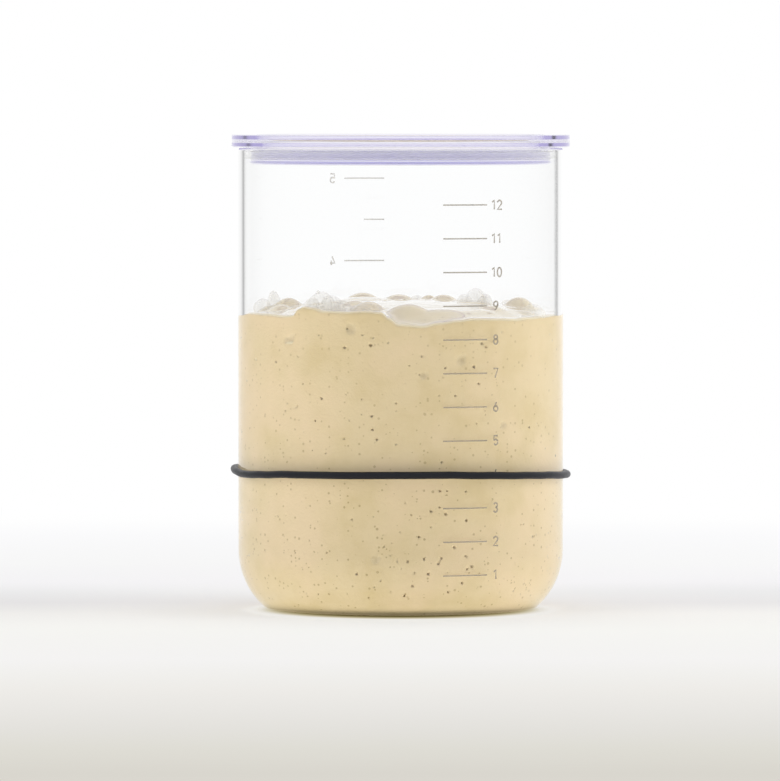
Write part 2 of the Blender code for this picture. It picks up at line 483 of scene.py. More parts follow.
def pore_group():
    """Round pores of many sizes: 1 in a pore, with a soft edge."""
    tree, given, leave = new_group(
        "gas_pores",
        (("Vector", "Vector"), ("Scale", "Float", 280.0), ("Radius", "Float", 0.16),
         ("Share", "Float", 0.5)),
        (("Mask", "Float"),))
    cells = add_node(
        tree, "TexVoronoi", (1, 1), feature="F1", Vector=given["Vector"], Scale=given["Scale"])
    tone = add_node(tree, "SeparateColor", (2, 0), cells.outputs["Color"]).outputs
    kept = reckoned(tree, (3, 0), "LESS_THAN", tone["Red"], given["Share"])
    size = reckoned(tree, (3, -1), "MULTIPLY", tone["Green"], given["Radius"])
    depth = reckoned(tree, (4, 1), "SUBTRACT", size, cells.outputs["Distance"])
    soft = ranged(tree, (5, 1), depth, (0.0, 0.06), ease="SMOOTHSTEP")
    feed(tree, leave, reckoned(tree, (6, 1), "MULTIPLY", soft, kept))


def crumb_group():
    """The starter's colour: warm and grey patches, and painted shade in its pores, darker with
    depth.
    """
    tree, given, leave = new_group(
        "starter_crumb",
        (("Vector", "Vector"), ("Crumb", "Color"), ("Shade", "Color"), ("Blush", "Color"),
         ("Pore", "Color"), ("Pore Mask", "Float", 0.0), ("Patchiness", "Float", 0.6)),
        (("Color", "Color"),))
    spot = given["Vector"]
    cloud = add_node(
        tree, "TexNoise", (1, 1), Vector=spot, Scale=95.0, Detail=4.0, Roughness=0.6)
    spread = ranged(
        tree, (2, 1), cloud.outputs["Fac"], (0.42, 0.78), (0.0, given["Patchiness"]))
    patches = mixed(tree, (3, 1), spread, given["Crumb"], given["Shade"])
    drift = add_node(
        tree, "TexNoise", (1, -1), Vector=spot, Scale=42.0, Detail=3.0, Roughness=0.55)
    warm = ranged(tree, (2, -1), drift.outputs["Fac"], (0.46, 0.66))
    blushed = mixed(tree, (3, -1), warm, patches, given["Blush"])
    # Painted shade in the pores
    feed(tree, leave, mixed(tree, (4, 1), given["Pore Mask"], blushed, given["Pore"]))


# Finishes

def glass_finish():
    """Clear borosilicate glass with the faint draw lines of its tube."""
    made, tree, shader, spot = new_material("borosilicate_glass")
    lines = grain(tree, (0, -2), spot, 60.0, stretch=0.12)
    fill(tree, shader, Base_Color=(0.993, 0.996, 0.996), Roughness=0.0, IOR=1.474,
         Transmission_Weight=1.0, Normal=relief(tree, lines, 0.05, 0.00003))
    pass_light(tree, shader, (0.985, 0.99, 0.99))
    return made


def ink_finish(name, colour):
    """Screen-printed enamel with a slightly uneven coat."""
    made, tree, shader, spot = new_material(name)
    coat = grain(tree, (0, 0), spot, 2600.0, high=0.35)
    thin = [min(1.0, part * 1.5) for part in colour]
    fill(tree, shader, Base_Color=mixed(tree, (2, 0), coat, colour, thin), Roughness=0.5,
         Alpha=grain(tree, (0, -2), spot, 1900.0, 0.54, 0.66))
    return made


def starter_finish(name, look, wet):
    """Risen starter: pored crumb against the glass, or its moist and glossy skin where wet."""
    made, tree, shader, spot = new_material(name)
    # Fine and broad pores, fainter higher up, take painted shade and dent the relief
    fine = placed_group(
        tree, "gas_pores", (-2, 2), Vector=spot, Scale=900.0, Radius=0.40, Share=0.26)
    broad = placed_group(
        tree, "gas_pores", (-2, 0), Vector=spot, Scale=430.0, Radius=0.24, Share=0.08)
    both = reckoned(tree, (-1, 1), "MAXIMUM", fine, broad)
    height = add_node(tree, "SeparateXYZ", (-3, -2), spot).outputs["Z"]
    low = ranged(tree, (-2, -2), height, (0.095, 0.030), (0.22, 0.40))
    held = reckoned(tree, (0, 1), "MULTIPLY", both, low)
    # Painted shade stored in the pressed pits
    pits = add_node(tree, "Attribute", (-2, -4), attribute_name="pit").outputs["Fac"]
    pore_shade_and_dent = reckoned(tree, (1, 1), "MAXIMUM", held, pits)
    tones = (look.skin, look.crumb, look.skin) if wet else (look.crumb, look.shade, look.blush)
    crumb = placed_group(
        tree, "starter_crumb", (2, 1), Vector=spot, Crumb=tones[0], Shade=tones[1],
        Blush=tones[2], Pore=look.pore, Pore_Mask=pore_shade_and_dent)
    bumps = grain(tree, (0, -3), spot, 900.0)
    total = reckoned(tree, (1, -2), "MULTIPLY_ADD", pore_shade_and_dent, -2.0, bumps)
    fill(tree, shader, Base_Color=crumb, Normal=relief(tree, total, 0.05 if wet else 0.30, 0.0002))
    if wet:
        fill(tree, shader, Roughness=grain(tree, (0, -5), spot, 160.0, 0.06, 0.16), IOR=1.6,
             Coat_Weight=1.0, Coat_Roughness=0.04, Coat_IOR=1.9)
    else:
        fill(tree, shader, Roughness=0.8, Specular_IOR_Level=0.0)
    return made


def film_finish():
    """The thin, milky skin of a gas bubble that stands up from the surface."""
    made, tree, shader, spot = new_material("bubble_film")
    tone = grain(tree, (0, 1), spot, 250.0)
    fill(tree, shader, Base_Color=mixed(tree, (2, 1), tone, (0.97, 0.97, 0.97), (0.93, 0.90, 0.84)),
         Alpha=grain(tree, (0, -1), spot, 260.0, 0.08, 0.34, stretch=0.06),
         Roughness=grain(tree, (0, -3), spot, 300.0, 0.03, 0.12, stretch=0.3), IOR=1.6)
    return made


def plastic_finish(look, edge_r, seat_r):
    """Clear moulded plastic whose lavender tint grows with its thickness, and at its edge."""
    made, tree, shader, spot = new_material("lavender_plastic")
    flat = add_node(tree, "VectorMath", (-3, 1), spot, (1.0, 1.0, 0.0), operation="MULTIPLY")
    out = reach_of(tree, (-2, 1), flat.outputs["Vector"])
    edge = ranged(tree, (-1, 1), out, (edge_r - 0.0010, edge_r - 0.0004), ease="SMOOTHSTEP")
    flange = ranged(tree, (-1, -5), out, (seat_r + 0.0004, seat_r + 0.0014), ease="SMOOTHSTEP")
    haze = grain(tree, (0, 1), spot, 300.0, high=0.02)
    flow = grain(tree, (0, -2), spot, 110.0, stretch=2.5)
    fill(tree, shader, Base_Color=(0.985, 0.98, 0.995), IOR=1.52, Transmission_Weight=1.0,
         Roughness=reckoned(tree, (1, 1), "MULTIPLY_ADD", edge, 0.03, haze),
         Normal=relief(tree, flow, 0.03, 0.00002))
    glow = mixed(tree, (3, -5), flange, (1.0, 1.0, 1.0), look.edge)
    pass_light(tree, shader, (0.93, 0.92, 0.97), glow)
    inside = add_node(tree, "VolumeAbsorption", (6, -3), look.tint, look.depth)
    fill(tree, tree.nodes["output"], Volume=inside.outputs["Volume"])
    return made


def silicone_finish():
    """Translucent silicone with a satin skin."""
    made, tree, shader, spot = new_material("clear_silicone")
    fill(tree, shader, Base_Color=(0.80, 0.815, 0.80), IOR=1.41,
         Alpha=grain(tree, (0, 3), spot, 500.0, 0.10, 0.17),
         Roughness=grain(tree, (0, 1), spot, 700.0, 0.2, 0.35))
    return made


def rubber_finish(look):
    """Black rubber with a satin skin and a trace of bloom."""
    made, tree, shader, spot = new_material("black_rubber")
    bloom = grain(tree, (0, 1), spot, 900.0, high=0.3)
    paler = [part * 2.4 for part in look.colour]
    skin = grain(tree, (0, -1), spot, 1500.0, 0.3, 0.48)
    fill(tree, shader, Base_Color=mixed(tree, (2, 1), bloom, look.colour, paler),
         Specular_IOR_Level=0.22, Roughness=skin, Normal=relief(tree, skin, 0.25, 0.00004))
    return made


# Printed scales

def bow(centre_x, centre_y, radius, start, end, height=None):
    """Points on an arc of a numeral, in shares of its height. Angles are in degrees."""
    tall = radius if height is None else height
    count = max(4, round(abs(end - start) / 20))
    angles = [math.radians(start + (end - start) * i / count) for i in range(count + 1)]
    return tuple((centre_x + radius * math.cos(a), centre_y + tall * math.sin(a)) for a in angles)


NUMERALS = {
    "0": (0.62, (bow(0.31, 0.5, 0.24, 90, 450, 0.43),)),
    "1": (0.44, (((0.10, 0.76), (0.20, 0.82), (0.35, 0.93), (0.35, 0.07)),)),
    "2": (0.62, (bow(0.32, 0.68, 0.24, 170, -32) + ((0.07, 0.07), (0.60, 0.07)),)),
    "3": (0.60, (bow(0.30, 0.715, 0.21, 155, -90), bow(0.29, 0.29, 0.23, 90, -155))),
    "4": (0.64, (((0.38, 0.93), (0.07, 0.27), (0.60, 0.27)), ((0.46, 0.52), (0.46, 0.07)))),
    "5": (0.62, (((0.56, 0.93), (0.14, 0.93), (0.11, 0.52)) + bow(0.32, 0.33, 0.25, 125, -150),)),
    "6": (0.62, (((0.43, 0.93), (0.28, 0.72), (0.12, 0.44)), bow(0.32, 0.32, 0.24, 90, 450))),
    "7": (0.60, (((0.06, 0.93), (0.58, 0.93), (0.24, 0.07)),)),
    "8": (0.62, (bow(0.31, 0.71, 0.20, 90, 450), bow(0.31, 0.30, 0.24, 90, 450))),
    "9": (0.62, (((0.17, 0.08), (0.32, 0.17), (0.45, 0.33), (0.53, 0.50), (0.56, 0.68)),
                 bow(0.32, 0.68, 0.24, 90, 450))),
}


def numeral_paths(text, height):
    """The strokes of a number as lists of (x, y) from its lower left corner, in metres."""
    paths = []
    start = 0.0
    for letter in text:
        width, strokes = NUMERALS[letter]
        for stroke in strokes:
            paths.append([((start + x) * height, y * height) for x, y in stroke])
        start += width + 0.20
    return paths


def ink_strokes(paths, width):
    """Strokes of ink as one flat shape of rounded bars in the XY plane."""
    curve = bpy.data.curves.new("ink", "CURVE")
    curve.dimensions = "3D"
    curve.bevel_depth = width / 2
    curve.bevel_resolution = 1
    curve.use_fill_caps = True
    for path in paths:
        closed = (Vector(path[0]) - Vector(path[-1])).length < 1e-7
        kept = path[:-1] if closed else path
        spline = curve.splines.new("POLY")
        spline.points.add(len(kept) - 1)
        spline.use_cyclic_u = closed
        for point, (x, y) in zip(spline.points, kept):
            point.co = (x, y, 0.0, 1.0)
    holder = bpy.data.objects.new("ink", curve)
    mesh = bpy.data.meshes.new_from_object(holder)
    bpy.data.objects.remove(holder)
    bpy.data.curves.remove(curve)
    return mesh


# Half the thickness of the ink, in metres
INK_COAT = 0.00002


def print_on_glass(shape, paths, width, radius, bearing, height):
    """Lays ink strokes on the glass. Their left end is at the bearing, in degrees."""
    mesh = ink_strokes(paths, width)
    layer = bmesh.new()
    layer.from_mesh(mesh)
    bpy.data.meshes.remove(mesh)
    bmesh.ops.recalc_face_normals(layer, faces=layer.faces)
    # Faces towards the glass take the second ink, painted paler for light through the ink
    for face in layer.faces:
        face.material_index = 1 if face.normal.z < -0.3 else 0
    for point in layer.verts:
        across, up, out = point.co
        turn = math.radians(bearing) + across / radius
        r = radius + out * INK_COAT / (width / 2)
        point.co = (r * math.cos(turn), r * math.sin(turn), height + up)
    add_shape(shape, layer)


def mark_path(length):
    """A level mark as a path with points close enough to bend round the glass."""
    steps = max(4, round(length / 0.001))
    return [[(length * i / steps, 0.0) for i in range(steps + 1)]]


def scale_shape(glass, sizes, unit, count, middle, start, end, half_end, numeral_at):
    """One printed scale: marks and numerals, with bearings counted in degrees from its middle.

    Half marks end at half_end, or are left out where it is None.
    """
    shape = bmesh.new()
    radius = glass.outer_radius
    for step in range(1, 2 * count + 1):
        whole = step % 2 == 0
        if not whole and half_end is None:
            continue
        height = sizes.zero + unit * step / 2
        reach = math.radians((end if whole else half_end) - start) * radius
        print_on_glass(shape, mark_path(reach), sizes.mark, radius, middle + start, height)
        if whole:
            text = str(step // 2)
            shift = 0.0 if len(text) > 1 else 0.75
            paths = numeral_paths(text, sizes.numeral)
            print_on_glass(
                shape, paths, sizes.stroke, radius, middle + numeral_at + shift,
                height - sizes.numeral / 2)
    return shape


# Starter

# Height of the starter against the glass, in mm, at bearings in degrees. The front is at 270.
EDGE_HEIGHTS = (
    (0, 89.8), (25, 89.2), (55, 90.0), (85, 88.8), (110, 89.6), (140, 90.0), (165, 89.0),
    (180, 88.9), (190, 89.3), (201, 89.9), (213, 89.7), (224, 89.3), (227.6, 89.5),
    (230.5, 91.6), (233, 92.2), (237, 91.8), (241, 91.0), (250, 90.8), (257, 91.1),
    (263, 90.7), (265.5, 89.0), (269, 87.1), (278, 86.6), (284, 87.5), (291, 88.2),
    (297, 88.7), (309, 88.5), (316, 88.3), (322, 88.6), (333, 88.9), (342, 89.3), (352, 89.3),
    (360, 89.8),
)

# Gas domes in the starter's surface: x, y, radius and height over the crown, in mm
DOMES = (
    (-34.4, -5.0, 4.8, 2.6), (-41.2, -3.0, 3.2, 1.6), (-36.8, -14.0, 4.2, 1.5),
    (-22.5, -36.0, 6.5, 1.2), (-11.8, 18.0, 5.6, 2.3), (-12.0, 4.0, 9.0, 0.9),
    (-9.7, -33.0, 4.8, 2.2), (-14.2, -22.0, 4.2, 1.3), (-0.6, 6.0, 4.8, 1.5),
    (8.6, 16.0, 2.8, 1.4), (13.2, 6.0, 4.2, 1.6), (22.4, -8.0, 6.5, 0.7),
    (27.0, -23.0, 4.2, 0.8), (36.3, -4.0, 5.4, 3.0), (38.6, -20.0, 4.2, 1.2),
    (2.2, -36.5, 6.0, 1.8), (13.0, -38.5, 6.5, 0.6), (-26.0, 22.0, 7.0, 0.4),
    (4.0, 33.0, 8.0, 1.2), (28.0, 18.0, 7.0, 0.5), (-12.0, 34.0, 6.5, 1.2),
    (20.0, 33.0, 6.0, 1.4), (-38.5, 11.0, 5.5, 1.6), (41.0, 8.0, 4.6, 1.6),
    (33.0, 31.0, 5.0, 1.0), (-30.0, 33.0, 5.5, 0.8),
)

# Gas pits seen against the glass: bearing in degrees, height, radius and depth, in mm
PITS = (
    (300.1, 81.0, 0.48, 0.9), (301.8, 80.1, 0.4, 0.6), (296.9, 74.2, 0.44, 0.9),
    (286.0, 74.0, 0.36, 0.7), (298.8, 69.2, 0.34, 0.9), (289.7, 65.7, 0.29, 0.8),
    (292.1, 76.3, 1.6, 0.5), (227.4, 82.2, 1.3, 0.5), (225.6, 82.0, 1.1, 0.5),
    (249.6, 80.0, 0.4, 0.8), (251.9, 85.7, 1.7, 0.4), (250.5, 85.6, 0.32, 0.7),
    (256.2, 83.8, 0.3, 0.7), (260.2, 82.9, 0.29, 0.6), (284.0, 37.5, 0.29, 0.8),
    (286.6, 37.5, 0.29, 0.7), (293.7, 37.2, 0.29, 0.7), (283.9, 32.6, 0.36, 0.8),
    (286.1, 30.6, 0.4, 0.9), (294.0, 28.6, 0.4, 0.9), (289.3, 20.7, 0.44, 0.9),
    (284.6, 17.5, 0.34, 0.8), (283.5, 15.9, 0.4, 0.9), (293.7, 18.0, 0.34, 0.8),
    (296.2, 14.9, 0.4, 0.8), (294.4, 14.2, 0.34, 0.7), (293.0, 10.2, 0.4, 0.9),
)

# More of them by radius and depth, in mm: bearing in degrees and height in mm
SIZED_PITS = {
    (0.27, 0.55): (
        (206.5, 75.8), (224.4, 60.9), (232.7, 69.1), (236.9, 6.8), (239.5, 83.6), (242.3, 48.5),
        (242.7, 19.0), (249.5, 53.0), (252.3, 29.0), (255.9, 64.7), (262.7, 11.0), (263.9, 21.0),
        (265.5, 81.5), (268.3, 51.3), (268.3, 63.6), (270.3, 14.3), (273.0, 74.7), (273.7, 30.5),
        (276.6, 72.1), (277.5, 77.4), (280.7, 26.8), (297.9, 57.4),
    ),
    (0.36, 0.85): (
        (219.4, 75.3), (238.0, 58.1), (240.6, 64.7), (253.9, 12.9), (259.6, 59.7), (259.8, 55.8),
        (261.4, 52.8), (271.3, 6.6), (272.4, 16.7), (274.2, 9.5), (274.9, 13.3), (276.4, 23.9),
        (278.3, 17.4), (279.8, 13.0), (280.7, 31.5), (284.6, 46.0), (288.1, 7.7), (322.8, 55.7),
    ),
    (0.22, 0.35): (
        (221.5, 17.4), (225.4, 63.1), (230.6, 77.0), (235.1, 14.5), (235.5, 22.5), (249.5, 7.1),
        (250.3, 66.1), (251.5, 58.3), (255.9, 60.2), (260.2, 9.1), (260.4, 29.9), (263.7, 24.4),
        (266.2, 7.9), (266.4, 18.4), (266.8, 22.1), (268.3, 61.3), (269.6, 25.4), (271.5, 34.1),
        (275.8, 29.5), (283.6, 65.8), (306.8, 49.3), (319.4, 26.7),
    ),
    (0.55, 0.95): (
        (259.2, 80.7),
    ),
    (1.2, 0.45): (
        (261.0, 17.4), (278.1, 71.9), (309.4, 56.7),
    ),
}

# Painted shade in a pit: how dark its middle is painted, per mm of its depth, and the middle of a
# broad one
PIT_SHADE = 0.62
BROAD_PIT_SHADE = 0.20

# Radius from which a pit is a broad, shallow one, in mm
BROAD_PIT = 0.9

# Number of pits round the whole wall
PIT_COUNT = 340

# How far round a pit the wall's faces are split, in metres
SPLIT_MARGIN = 0.0005

# Height up to which the wall is pitted, in metres
PITTED_TO = 0.094

# Edge of the cells that sort the wall's points and edges by their places, in metres
CELL = 0.004


def edge_height(x, y):
    """Height of the starter against the glass on the side of a point, in metres."""
    return from_table(EDGE_HEIGHTS, math.degrees(math.atan2(y, x)) % 360) * MM


# How far two domes melt into each other, in metres
DOME_BLEND = 0.0003


def small_domes(seed):
    """Small gas domes spread over the surface by the seed: x, y, radius and height, in mm."""
    pick = random.Random(seed)
    made = []
    for _ in range(40):
        out = 45.0 * math.sqrt(pick.random())
        turn = pick.uniform(0.0, 2 * math.pi)
        radius = pick.uniform(1.0, 2.8)
        rise = radius * pick.uniform(0.10, 0.22)
        made.append((out * math.cos(turn), out * math.sin(turn), radius, rise))
    return made


def surface_height(x, y, radius, look, domes):
    """Height of the starter's surface: a low crown, gas domes, and its edge on the glass."""
    out = math.hypot(x, y)
    share = min(1.0, out / radius)
    crown = look.edge + look.crown * (1 - share ** 2.5)
    rise = 0.0
    for dome_x, dome_y, dome_r, dome_h in domes:
        gap = math.hypot(x * 1000 - dome_x, y * 1000 - dome_y) / dome_r
        if gap < 1.0:
            swell = dome_h * (1 - gap * gap) * MM
            over = max(0.0, DOME_BLEND - abs(rise - swell)) / DOME_BLEND
            rise = max(rise, swell) + over * over * DOME_BLEND / 4
    ripple = noise.noise(Vector((x, y, 0.0)) * 240.0) * 0.00008
    inner = crown + rise + ripple
    pull = max(0.0, (share - 0.80) / 0.20)
    pull = pull * pull * (3 - 2 * pull)
    return inner + (edge_height(x, y) - inner) * pull


def all_pits(seed, top):
    """The placed pits, and more of their kind all round the wall: fewer among the placed ones.

    One in twenty is broad, but not at the sides, where it would show in the jar's outline.
    """
    pick = random.Random(seed)
    made = list(PITS)
    for size, places in SIZED_PITS.items():
        made += [(*place, *size) for place in places]
    while len(made) < PIT_COUNT:
        bearing = pick.uniform(0.0, 360.0)
        height = 6.0 + (top - 10.0) * pick.random() ** 1.8
        among_placed = 235.0 < bearing < 308.0
        if among_placed and pick.random() < 0.8:
            continue
        radius = 0.15 + 0.17 * pick.random() ** 2
        off_side = abs((bearing + 90) % 180 - 90)
        if pick.random() < 0.05 and off_side > 15:
            made.append((bearing, height, pick.uniform(1.0, 1.7), 0.4))
        else:
            made.append((bearing, height, radius, pick.uniform(0.15, 0.70)))
    return made


def near_pits(pits, spots, wall_r):
    """Each pit with the things near it and their distance, from a list of (thing, point)."""
    grid = {}
    for thing, point in spots:
        turn = math.atan2(point.y, point.x) % (2 * math.pi)
        key = (int(turn * wall_r / CELL), int(point.z / CELL))
        grid.setdefault(key, []).append((thing, turn, point.z))
    for pit in pits:
        pit_turn = math.radians(pit[0])
        level = pit[1] * MM
        column, row = int(pit_turn * wall_r / CELL), int(level / CELL)
        for side, up in itertools.product((-1, 0, 1), repeat=2):
            for thing, turn, z in grid.get((column + side, row + up), ()):
                yield pit, thing, math.hypot((turn - pit_turn) * wall_r, z - level)


def refine_pits(shape, pits, wall_r):
    """Splits the wall's faces round each pit, so that its shape is a real hollow."""
    middles = [(edge, (edge.verts[0].co + edge.verts[1].co) / 2) for edge in shape.edges]
    spots = [(edge, middle) for edge, middle in middles if middle.xy.length > wall_r * 0.90]
    small = [pit for pit in pits if pit[2] <= BROAD_PIT]
    chosen = {}
    for pit, edge, gap in near_pits(small, spots, wall_r):
        if gap < pit[2] * MM + SPLIT_MARGIN:
            chosen[edge] = True
    bmesh.ops.subdivide_edges(shape, edges=list(chosen), cuts=3, use_grid_fill=True)


def press_pits(shape, pits, wall_r):
    """Presses each pit into the wall and stores its painted shade, by its depth, for the finish."""
    layer = shape.verts.layers.float.new("pit")
    spots = [(point, point.co.copy()) for point in shape.verts
             if point.co.xy.length > wall_r * 0.85 and point.co.z < PITTED_TO]
    for (_, _, radius, depth), point, gap in near_pits(pits, spots, wall_r):
        gap /= radius * MM
        if gap < 1.0:
            hollow = (1 - gap * gap) ** 0.7
            inward = Vector((-point.co.x, -point.co.y, 0.0)).normalized()
            point.co += inward * depth * MM * hollow
            # Painted shade for the hollow, by its depth, or a light one for a broad pit
            mark = hollow * (PIT_SHADE * depth if radius < BROAD_PIT else BROAD_PIT_SHADE)
            point[layer] = max(point[layer], mark)


# How far the starter reaches into the glass, so that no air shows between them, in metres
WETTING = 0.00005


def starter_shape(glass, look):
    """The risen starter, pressed against the glass, with domes above and pits in its wall."""
    wall_r = glass.outer_radius - glass.wall + WETTING
    bore = bore_outline(glass, -WETTING, 7)
    base_z = bore[-1][1]
    fillet = 0.0010
    rows = 92
    rings = 54
    wall = [(wall_r, base_z + (look.edge - fillet - base_z) * i / rows) for i in range(1, rows)]
    edge = arc(wall_r - fillet, look.edge - fillet, fillet, 0.0, math.pi / 2, 4)
    top = [((wall_r - fillet) * (1 - i / rings), look.edge) for i in range(1, rings + 1)]
    floor = [(bore[0][0] * i / 8, bore[0][1]) for i in range(8)]
    shape = spun(floor + bore + wall + edge + top, 360)
    domes = list(DOMES) + small_domes(look.seed)
    flat = look.edge - fillet
    for point in shape.verts:
        x, y, z = point.co
        rim = edge_height(x, y) - look.edge
        if z > flat - 1e-6:
            lift = min(1.0, (z - flat) / fillet)
            height = surface_height(x, y, wall_r, look, domes) - look.edge
            point.co.z += rim + (height - rim) * lift
        elif z > base_z + 1e-6:
            point.co.z += rim * (z - base_z) / (flat - base_z)
    pits = all_pits(look.seed, look.edge * 1000)
    refine_pits(shape, pits, wall_r)
    press_pits(shape, pits, wall_r)
    bmesh.ops.recalc_face_normals(shape, faces=shape.faces)
    for face in shape.faces:
        middle = face.calc_center_median()
        face.material_index = 1 if middle.z > 0.08 and face.normal.z > 0.35 else 0
    return shape


# Film bubbles that stand on the starter's surface: x, y, foot, radius, height and lean, in mm
FILMS = (
    (-23.6, -34.0, 90.3, 4.6, 6.1, 0.4), (-20.0, -34.5, 90.3, 3.9, 5.0, -0.8),
    (-26.4, -33.5, 90.2, 2.9, 4.4, 0.9), (-17.0, -33.5, 90.3, 2.7, 3.6, -0.4),
    (-24.3, -34.0, 95.9, 0.62, 0.9, 0.0), (22.4, -8.0, 92.0, 3.4, 4.8, 0.2),
    (25.3, -9.0, 91.8, 2.3, 3.3, 0.5), (19.2, -8.6, 92.0, 2.6, 3.0, -0.4),
    (39.0, -20.5, 88.9, 3.4, 3.4, 0.0), (-37.9, -8.0, 91.0, 2.2, 5.0, -0.6),
    (-41.4, -8.0, 90.3, 2.7, 3.4, 0.4), (-10.2, -33.5, 90.4, 5.6, 2.6, 0.0),
    (5.0, 24.0, 91.9, 2.4, 1.9, 0.2), (-8.0, 37.0, 90.4, 2.8, 2.4, 0.4),
    (33.0, 20.0, 90.6, 2.4, 2.0, -0.3),
)


def film_shape():
    """Half bubbles, each a dome that leans a little and stands in the surface."""
    shape = bmesh.new()
    for x, y, foot, radius, height, lean in FILMS:
        dome = bmesh.new()
        bmesh.ops.create_uvsphere(dome, u_segments=36, v_segments=24, radius=1.0)
        cut = dome.verts[:] + dome.edges[:] + dome.faces[:]
        bmesh.ops.bisect_plane(
            dome, geom=cut, dist=1e-5, plane_co=(0.0, 0.0, -0.25), plane_no=(0.0, 0.0, -1.0),
            clear_outer=True, clear_inner=False)
        for point in dome.verts:
            wave = 1 + 0.07 * noise.noise(point.co * 2.1 + Vector((x, y, foot)))
            tall = point.co.z
            point.co.x = point.co.x * wave + lean * 0.2 * tall * tall
            point.co.y *= wave
        size = (radius * MM, radius * MM, height * MM)
        bmesh.ops.scale(dome, vec=size, verts=dome.verts)
        bmesh.ops.translate(dome, vec=(x * MM, y * MM, foot * MM), verts=dome.verts)
        bmesh.ops.holes_fill(dome, edges=[edge for edge in dome.edges if edge.is_boundary])
        bmesh.ops.recalc_face_normals(dome, faces=dome.faces)
        add_shape(shape, dome)
    bmesh.ops.recalc_face_normals(shape, faces=shape.faces)
    return shape


# Height of the band's middle, in mm, at bearings in degrees: it lies a little askew and slack
BAND_LINE = (
    (0, 40.3), (45, 40.2), (90, 40.4), (135, 41.0), (165, 41.8), (180, 42.0), (190, 41.6),
    (199, 41.15), (206, 41.2), (215, 41.5), (227, 41.95), (245, 42.1), (270, 42.3), (285, 42.3),
    (300, 41.95), (315, 41.55), (330, 41.15), (345, 40.6), (360, 40.3),
)


# Gap between the lid's plug and the bore, depth of the gasket's seat in the plug, height of the
# plug below that seat, and the gap that pieces keep which touch on the real jar, in metres
PLUG_GAP = 0.0018
SEAT_DEPTH = 0.0003
SEAT_HEIGHT = 0.0013
PIECE_GAP = 0.0003

# Wall of the gasket between its lips, and what it keeps from its seat and the bore, in metres
BAND_WALL = 0.0010
HUG_GAP = 0.00004
LIP_GAP = 0.00005


# Pieces

class STARTERJAR_OT_glass_jar(bpy.types.Operator):
    """Turn the glass jar with its heel, foot ring, punt and fire-polished rim"""

    bl_idname = "starter_jar.glass_jar"
    bl_label = "Glass jar"

    def execute(self, context):
        glass = context.scene.starter_glass
        centre_r, centre_z = heel_centre(glass)
        foot_r = centre_r + (glass.heel_radius - glass.foot_fillet) * math.cos(glass.heel_sweep)
        land_r = foot_r - glass.foot_land
        round_r = 0.43 * glass.wall
        bore_r = glass.outer_radius - glass.wall
        quarter = math.pi / 2
        profile = [(0.0, glass.base)] + bore_outline(glass, 0.0, 8)
        profile += rounded(bore_r, glass.height, round_r, math.pi, quarter, 6)
        profile += rounded(glass.outer_radius, glass.height, round_r, quarter, 0.0, 6)
        profile += arc(centre_r, centre_z, glass.heel_radius, 0.0, -glass.heel_sweep, 20)
        profile += arc(foot_r, glass.foot_fillet, glass.foot_fillet,
                       -glass.heel_sweep, -quarter, 6)[1:]
        shares = [1 - i / 9 for i in range(10)]
        profile += [(land_r * s, glass.punt_rise * (1 - s * s)) for s in shares]
        shape = spun(supported(profile), 256)
        dressed("glass_body", shape, "jar", [glass_finish()], ("glass_jar",))
        return {"FINISHED"}


class STARTERJAR_OT_scales(bpy.types.Operator):
    """Print the centimetre scale on the front and the inch scale on the back"""

    bl_idname = "starter_jar.scales"
    bl_label = "Printed scales"

    def execute(self, context):
        glass = context.scene.starter_glass
        sizes = context.scene.starter_scales
        # The second ink is painted paler: painted light shining through the ink, seen through the
        # glass
        finishes = [ink_finish("scale_ink", sizes.face), ink_finish("scale_ink_back_painted_light", sizes.back)]
        front = scale_shape(
            glass, sizes, unit=0.010, count=12, middle=270.0, start=14.8, end=31.4,
            half_end=None, numeral_at=33.1)
        dressed("centimetre_scale", front, "jar", finishes)
        back = scale_shape(
            glass, sizes, unit=0.0254, count=5, middle=90.0, start=6.0, end=21.2,
            half_end=13.6, numeral_at=24.0)
        dressed("inch_scale", back, "jar", finishes)
        return {"FINISHED"}


class STARTERJAR_OT_starter(bpy.types.Operator):
    """Fill the jar with risen starter, with gas domes on top and pores against the glass"""

    bl_idname = "starter_jar.starter"
    bl_label = "Starter"

    def execute(self, context):
        glass = context.scene.starter_glass
        look = context.scene.starter_look
        finishes = [starter_finish("starter_crumb", look, False),
                    starter_finish("starter_skin", look, True)]
        shape = starter_shape(glass, look)
        dressed("risen_starter", shape, "jar", finishes, ("starter",), 60.0)
        return {"FINISHED"}


class STARTERJAR_OT_bubbles(bpy.types.Operator):
    """Blow the thin film bubbles that stand up from the starter's surface"""

    bl_idname = "starter_jar.bubbles"
    bl_label = "Film bubbles"

    def execute(self, context):
        dressed("film_bubbles", film_shape(), "jar", [film_finish()])
        return {"FINISHED"}


